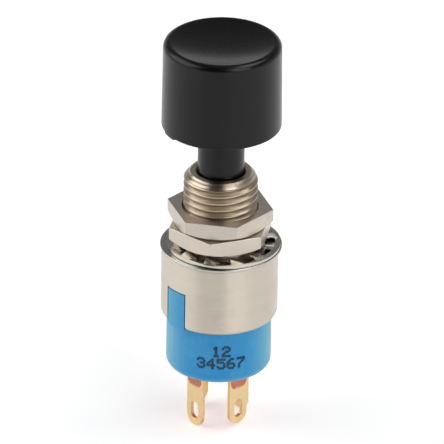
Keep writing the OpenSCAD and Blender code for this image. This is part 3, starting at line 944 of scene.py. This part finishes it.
class SWITCH_OT_nuts(bpy.types.Operator):
    """Two hexagon nuts, their lower corners turned away"""

    bl_idname = "switch.nuts"
    bl_label = "Nuts"

    def execute(self, context):
        s = context.scene.switch_fasteners
        for node, azimuth in (("lower_nut", s.lower_az), ("upper_nut", s.upper_az)):
            low, high = (corner.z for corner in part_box(node))
            piece = self.hexagon(s, f"hex_{node}", azimuth, low, high)
            finish_piece(piece, 32, "case", "nickel_nut", node)
        return {"FINISHED"}

    def hexagon(self, s, name, azimuth, low, high):
        corner_r = s.nut_flats / 2 / math.cos(math.pi / 6)
        deselect()
        bpy.ops.mesh.primitive_cylinder_add(
            vertices=6, radius=corner_r, depth=high - low,
            location=(0, 0, (low + high) / 2), rotation=(0, 0, azimuth),
        )
        nut = settle(named(name))
        rise = (corner_r - s.nut_face_r) * math.tan(s.nut_chamfer)
        past = 0.1 * MM
        outline = [
            (0, low - past),
            (s.nut_face_r - past / math.tan(s.nut_chamfer), low - past),
            (corner_r + past, low + rise + past * math.tan(s.nut_chamfer)),
            (corner_r + past, high + past),
            (0, high + past),
        ]
        combine(nut, turned("nut_blank", outline, close=False), "INTERSECT")
        ease = 0.12 * MM
        bore = [
            (0, low - past),
            (s.nut_bore_r + ease + past, low - past),
            (s.nut_bore_r, low + ease),
            (s.nut_bore_r, high - ease),
            (s.nut_bore_r + ease + past, high + past),
            (0, high + past),
        ]
        combine(nut, turned("nut_bore", bore, close=False), "DIFFERENCE")
        tidy_mesh(nut)
        return round_edges(nut, s.nut_edge, 3, 28)


class SWITCH_OT_washers(bpy.types.Operator):
    """Flat washer, and the lock washer with its twisted teeth"""

    bl_idname = "switch.washers"
    bl_label = "Washers"

    def execute(self, context):
        s = context.scene.switch_fasteners
        self.flat(s)
        self.toothed(s)
        return {"FINISHED"}

    def flat(self, s):
        middle = (RING_LOW + RING_HIGH) / 2
        ring_r, high, edge = RING_HIGH.x - middle.x, RING_HIGH.z, 0.07 * MM
        low = RING_LOW.z
        outline = [
            (s.ring_bore_r, low),
            *arc((ring_r - edge, low + edge), edge, -90, 0, 3),
            *arc((ring_r - edge, high - edge), edge, 0, 90, 3),
            (s.ring_bore_r, high),
        ]
        ring = turned("plain_washer", outline)
        ring.location = (middle.x, middle.y, 0)
        settle(ring)
        finish_piece(ring, 40, "case", "flat_sheet", "flat_washer", slot="polished_washer")

    def toothed(self, s):
        middle = (LOCK_LOW + LOCK_HIGH) / 2
        ring_r = LOCK_HIGH.x - middle.x
        inner_r, half = ring_r - s.sheet_rim, s.sheet_t / 2
        outline = [(inner_r, -half), (ring_r, -half), (ring_r, half), (inner_r, half)]
        ring = turned("toothed_washer", outline)
        combine(ring, self.teeth(s, ring_r - s.sheet_rim / 2), "UNION")
        tidy_mesh(ring)
        round_edges(ring, 0.035 * MM, 2, 30)
        lowest = min(corner.co.z for corner in ring.data.vertices)
        ring.location = (middle.x, middle.y, LOCK_LOW.z - lowest)
        settle(ring)
        finish_piece(ring, 35, "case", "polished_washer", "lock_washer")

    def teeth(self, s, root_r):
        """One tooth, twisted from its root to its tip, and the rest of them round the ring."""
        reach, middle = root_r - s.tooth_in_r, (root_r + s.tooth_in_r) / 2
        cuts, bend = 5, 3  # the twist is whole after that many of the cuts
        tooth = edit(block("teeth", (s.tooth_w, reach, s.sheet_t), (middle, 0)))
        pick(tooth, lambda p: abs(abs(p.y) - middle) < reach / 4, "EDGE")
        bpy.ops.mesh.subdivide(number_cuts=cuts)
        for k in range(cuts + 1):
            y = -root_r + reach * (k + 1) / (cuts + 1)
            pick(tooth, lambda p, y=y: abs(p.y - y) < reach / 50)
            bpy.ops.transform.rotate(
                value=-s.tooth_twist * min(1.0, (k + 1) / bend), orient_axis="Y",
                center_override=(s.tooth_pivot, y, 0),
            )
        bpy.ops.mesh.select_all(action="SELECT")
        spin(s.teeth - 1, FULL_TURN * (s.teeth - 1) / s.teeth, copies=True)
        done()
        return turn_to(tooth, s.tooth_az)


class SWITCH_OT_base(bpy.types.Operator):
    """Blue moulded base with its two keys"""

    bl_idname = "switch.base"
    bl_label = "Base"

    def execute(self, context):
        piece = cad_copy("base", "moulded_base")
        round_edges(piece, 0.04 * MM, 2, 50)
        finish_piece(piece, 32, "case", "base_plastic", "base")
        return {"FINISHED"}


DIGITS = {
    "1": "010 110 010 010 010 010 111",
    "2": "01110 10001 00001 00110 01000 10000 11111",
    "3": "01110 10001 00001 00110 00001 10001 01110",
    "4": "00010 00110 01010 10010 11111 00010 00010",
    "5": "11111 10000 11110 00001 00001 10001 01110",
    "6": "00110 01000 10000 11110 10001 10001 01110",
    "7": "11111 00001 00010 00100 01000 01000 01000",
}


class SWITCH_OT_marking(bpy.types.Operator):
    """Plain counting numbers, printed on the base in dots"""

    bl_idname = "switch.marking"
    bl_label = "Printed numbers"

    def execute(self, context):
        s = context.scene.switch_mark
        radius = BASE_HIGH.x
        places = self.places("12", s, -s.upper_z) + self.places("34567", s, -s.lower_z)
        dot = self.dot(s)
        dots = []
        for x, z in places:
            copy = dot.copy()
            copy.data = dot.data.copy()
            bpy.context.scene.collection.objects.link(copy)
            azimuth = s.azimuth + x / radius
            copy.location = polar(radius, azimuth, z)
            copy.rotation_euler = (math.pi / 2, 0, azimuth)
            dots.append(copy)
        bpy.data.objects.remove(dot)
        deselect()
        for copy in dots:
            copy.select_set(True)
        bpy.context.view_layer.objects.active = dots[0]
        bpy.ops.object.join()
        piece = settle(named("printed_numbers"))
        finish_piece(piece, 60, "case", "ink")
        return {"FINISHED"}

    def dot(self, s):
        """One dot of ink, the middle of its face sunk a little."""
        deselect()
        bpy.ops.mesh.primitive_cylinder_add(
            vertices=12, radius=s.dot_d / 2, depth=0.03 * MM, location=(0, 0, 0)
        )
        dot = edit(named("ink_dot"))
        pick(dot, lambda p: p.z > 0.01 * MM, "FACE")
        bpy.ops.mesh.inset(thickness=0.03 * MM)
        bpy.ops.transform.translate(value=(0, 0, -0.008 * MM))
        done()
        return dot

    def places(self, text, s, z):
        """Where the dots of a line go: along the surface from its middle, and up."""
        found = []
        for index, letter in enumerate(text):
            rows = DIGITS[letter].split()
            width = len(rows[0]) - 1
            middle = (index - (len(text) - 1) / 2) * s.letter_gap
            for r, row in enumerate(rows):
                for c, cell in enumerate(row):
                    if cell == "1":
                        x = middle + (c - width / 2) * s.dot_pitch
                        found.append((x, z + (3 - r) * s.dot_pitch))
        return found


class SWITCH_OT_lugs(bpy.types.Operator):
    """Four solder lugs, their stamped edges rounded"""

    bl_idname = "switch.lugs"
    bl_label = "Solder lugs"

    def execute(self, context):
        for number in range(1, 5):
            piece = cad_copy(f"terminal_{number}", f"solder_lug_{number}")
            round_edges(piece, 0.07 * MM, 3, 40)
            finish_piece(piece, 32, "case", "gold_terminal", f"terminal_{number}")
        return {"FINISHED"}


class SWITCH_OT_resin(bpy.types.Operator):
    """Sealing resin: a pool in the base and a film down each lug"""

    bl_idname = "switch.resin"
    bl_label = "Sealing resin"

    def execute(self, context):
        pool_r, top = SEAL_HIGH.x, SEAL_HIGH.z
        surface = BASE_LOW.z + 0.1 * MM
        profile = (
            (pool_r, -0.02), (pool_r - 0.15 * MM, 0.03), (pool_r - 0.5 * MM, 0.1), (0, 0.18),
        )
        outline = [(0, top), (pool_r, top), *((r, surface + z * MM) for r, z in profile)]
        piece = turned("sealing_resin", outline, close=False)
        for quarter in range(4):
            combine(piece, self.film(surface, quarter * math.pi / 2), "UNION")
        tidy_mesh(piece)
        finish_piece(piece, 45, "case", "seal_resin", "epoxy_seal")
        return {"FINISHED"}

    def film(self, surface, azimuth):
        """A skin round a lug: a tongue with round lower corners that thins downwards."""
        low, high = SEAL_LOW.z - 0.25 * MM, surface + 0.3 * MM
        width, thick, radius = 1.76 * MM, 0.47 * MM, 2.5 * MM
        corner, thin = 0.62 * MM, 0.9
        film = edit(block("film", (width, thick, high - low), (radius, (low + high) / 2)))
        pick(film, lambda p: p.z < low + WELD and abs(p.x) > width / 2 - WELD, "EDGE")
        bpy.ops.mesh.bevel(offset=corner, segments=8, profile=0.5)
        pick(film, lambda p: p.z < low + 0.5 * MM)
        bpy.ops.transform.resize(value=(1, thin, 1), center_override=(0, -radius, low))
        done()
        return turn_to(film, azimuth)


class SWITCH_OT_springs(bpy.types.Operator):
    """Return spring and the two contact springs, as round wire"""

    bl_idname = "switch.springs"
    bl_label = "Springs"

    def execute(self, context):
        # The growth makes up for what the smoothing takes off the wire.
        for node, body, joint, foot, growth in (
            ("return_spring", "case", "press", "low", 0.015 * MM),
            ("contact_spring_1", "plunger", "bridge_lift", "high", 0.008 * MM),
            ("contact_spring_2", "plunger", "bridge_lift", "high", 0.008 * MM),
        ):
            piece = edit(cad_copy(node, f"coil_{node}"))
            bpy.ops.mesh.tris_convert_to_quads()
            bpy.ops.transform.shrink_fatten(value=growth)
            done()
            apply_modifier(piece, "SUBSURF", levels=1, render_levels=1)
            finish_piece(piece, 60, body, "spring_steel", node)
            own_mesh(piece)
        return {"FINISHED"}


class SWITCH_OT_inner_parts(bpy.types.Operator):
    """Finishes for the inner parts that keep their own mesh"""

    bl_idname = "switch.inner_parts"
    bl_label = "Inner parts"

    def execute(self, context):
        inner = {
            "o_ring": "seal_rubber",
            "contact_carrier": "carrier_plastic",
            "contact_bridge_1": "contact_bronze",
            "contact_bridge_2": "contact_bronze",
            "moving_contacts": "contact_silver",
            **{f"fixed_contact_{k}": "contact_silver" for k in range(1, 5)},
        }
        for node, name in inner.items():
            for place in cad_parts[node].material_slots:
                place.material = finish(name)
        return {"FINISHED"}


class SWITCH_OT_studio(bpy.types.Operator):
    """White floor with a low cove, three soft boxes, a dim room and the camera"""

    bl_idname = "switch.studio"
    bl_label = "Studio"

    def execute(self, context):
        self.floor(context.scene.switch_colours)
        self.room(context.scene)
        self.lamps()
        self.camera(context.scene)
        context.scene.view_settings.view_transform = "Standard"
        return {"FINISHED"}

    def floor(self, colours):
        """A matt floor, lit up a little where the camera or a mirror sees it."""
        level = CAD_LOW.z
        flat_r, cove_r = 2.2, 0.3
        outline = [(r, level) for r in (0, 0.2, 1.0)]
        outline += arc((flat_r, level + cove_r), cove_r, -90, 0, 10)
        piece = turned("studio_floor", outline, close=False, steps=96)
        edit(piece)
        bpy.ops.mesh.normals_make_consistent(inside=True)
        done()
        smooth(piece, 60)
        material = bpy.data.materials.new("White Floor")
        material.use_nodes = True
        tree = material.node_tree
        tree.nodes.clear()
        matt = add_node(tree, "BsdfDiffuse", Color=shade(colours.floor))
        path = add_node(tree, "LightPath")
        mirror_share, front_share, glow_strength = 0.72, 0.35, 0.42
        half_dark = times(tree, self.front(tree, object_place(tree)), front_share)
        clear = maths(tree, "SUBTRACT", mirror_share, half_dark)
        mirrored = times(tree, path.outputs["Is Glossy Ray"], clear)
        seen = maths(tree, "MAXIMUM", path.outputs["Is Camera Ray"], mirrored)
        seen = maths(tree, "MAXIMUM", seen, path.outputs["Is Transmission Ray"])
        lift = times(tree, seen, glow_strength)
        glow = add_node(tree, "Emission", Color=(1, 1, 1, 1), Strength=lift)
        both = add_node(tree, "AddShader", i0=matt.outputs[0], i1=glow.outputs[0])
        add_node(tree, "OutputMaterial", Surface=both.outputs[0])
        piece.data.materials.append(material)

    def front(self, tree, vector):
        """1 towards the dark front of the room, whose middle is at azimuth 34 degrees."""
        middle, clear, dark = (math.radians(d) for d in (34, 34, 18))
        way = vector_maths(tree, "NORMALIZE", across_axis(tree, vector))
        share = vector_maths(tree, "DOT_PRODUCT", way, polar(1, middle, 0))
        return ramp(tree, share, math.cos(clear), math.cos(dark))

    def room(self, scene):
        """White to the camera; to the object, a room that darkens above the cove."""
        world = bpy.data.worlds.new("Room")
        scene.world = world
        world.use_nodes = True
        tree = world.node_tree
        tree.nodes.clear()
        way = add_node(tree, "TexCoord").outputs["Generated"]
        cove, ceiling, bright, dull, front_share = 0.10, 0.34, 0.95, 0.19, 0.85
        dim = ramp(tree, split_xyz(tree, way)[2], cove, ceiling, bright, dull)
        dark = times(tree, self.front(tree, way), front_share)
        dim = times(tree, dim, maths(tree, "SUBTRACT", 1.0, dark))
        path = add_node(tree, "LightPath")
        strength = maths(tree, "MAXIMUM", dim, path.outputs["Is Camera Ray"])
        back = add_node(tree, "Background", Color=(1, 1, 1, 1), Strength=strength)
        add_node(tree, "OutputWorld", Surface=back.outputs[0])

    def lamps(self):
        """Soft boxes: name, azimuth, elevation, distance, width, height, power."""
        for name, azimuth, elevation, distance, width, height, power in (
            ("soft_box_right", 87, 36, 0.8, 0.46, 0.65, 1.8),
            ("soft_box_left", -44, 36, 0.8, 0.9, 0.65, 3.45),
            ("soft_box_high", 147, 62, 0.8, 0.5, 0.4, 1.7),
        ):
            lamp = bpy.data.lights.new(name, "AREA")
            lamp.shape = "RECTANGLE"
            lamp.size, lamp.size_y, lamp.energy = width, height, power
            holder = bpy.data.objects.new(name, lamp)
            bpy.context.scene.collection.objects.link(holder)
            az, el = math.radians(azimuth), math.radians(elevation)
            away = Vector(polar(math.cos(el), az, math.sin(el)))
            holder.location = away * distance
            holder.rotation_euler = away.to_track_quat("Z", "Y").to_euler()

    def camera(self, scene):
        """A long lens, one metre away, turned a little about its own axis."""
        az, el, roll = math.radians(48.5), math.radians(27.5), math.radians(0.8)
        back = Vector(polar(math.cos(el), az, math.sin(el)))
        right = Vector((math.cos(az), math.sin(az), 0))
        up = back.cross(right)
        turn = Matrix.Rotation(roll, 3, back)
        right, up = turn @ right, turn @ up
        aside, above, focal_length = 0.18 * MM, 1.98 * MM, 948.6
        aim = right * aside + up * above
        lens = bpy.data.cameras.new("Camera")
        lens.sensor_width, lens.lens = 36, focal_length
        lens.clip_start, lens.clip_end = 0.1, 10
        camera = bpy.data.objects.new("Camera", lens)
        scene.collection.objects.link(camera)
        axes = Matrix((right, up, back)).transposed()
        camera.matrix_world = Matrix.Translation(aim + back) @ axes.to_4x4()
        scene.camera = camera


PIECES = (
    SWITCH_OT_housing,
    SWITCH_OT_cap,
    SWITCH_OT_plunger,
    SWITCH_OT_nuts,
    SWITCH_OT_washers,
    SWITCH_OT_base,
    SWITCH_OT_marking,
    SWITCH_OT_lugs,
    SWITCH_OT_resin,
    SWITCH_OT_springs,
    SWITCH_OT_inner_parts,
    SWITCH_OT_studio,
)


class SWITCH_PT_panel(bpy.types.Panel):
    """Sizes and colours of the switch, and a button for each piece"""

    bl_label = "Mini Push Button Switch"
    bl_idname = "SWITCH_PT_panel"
    bl_space_type = "VIEW_3D"
    bl_region_type = "UI"
    bl_category = "Switch"

    def draw(self, context):
        layout = self.layout
        for key, group in GROUPS.items():
            box = layout.box()
            box.label(text=key.replace("_", " ").title())
            for name in group.__annotations__:
                box.prop(getattr(context.scene, key), name)
        for operator in PIECES:
            layout.operator(operator.bl_idname)


def register():
    for group in GROUPS.values():
        bpy.utils.register_class(group)
    for operator in PIECES:
        bpy.utils.register_class(operator)
    bpy.utils.register_class(SWITCH_PT_panel)
    for key, group in GROUPS.items():
        setattr(bpy.types.Scene, key, PointerProperty(type=group))


def unregister():
    for key in GROUPS:
        delattr(bpy.types.Scene, key)
    bpy.utils.unregister_class(SWITCH_PT_panel)
    for kind in (*PIECES, *GROUPS.values()):
        bpy.utils.unregister_class(kind)


def main():
    register()
    for operator in PIECES:
        call = getattr(bpy.ops.switch, operator.bl_idname.split(".")[1])
        if call() != {"FINISHED"}:
            raise RuntimeError(f"{operator.bl_idname} did not finish")


if __name__ == "__main__":
    main()
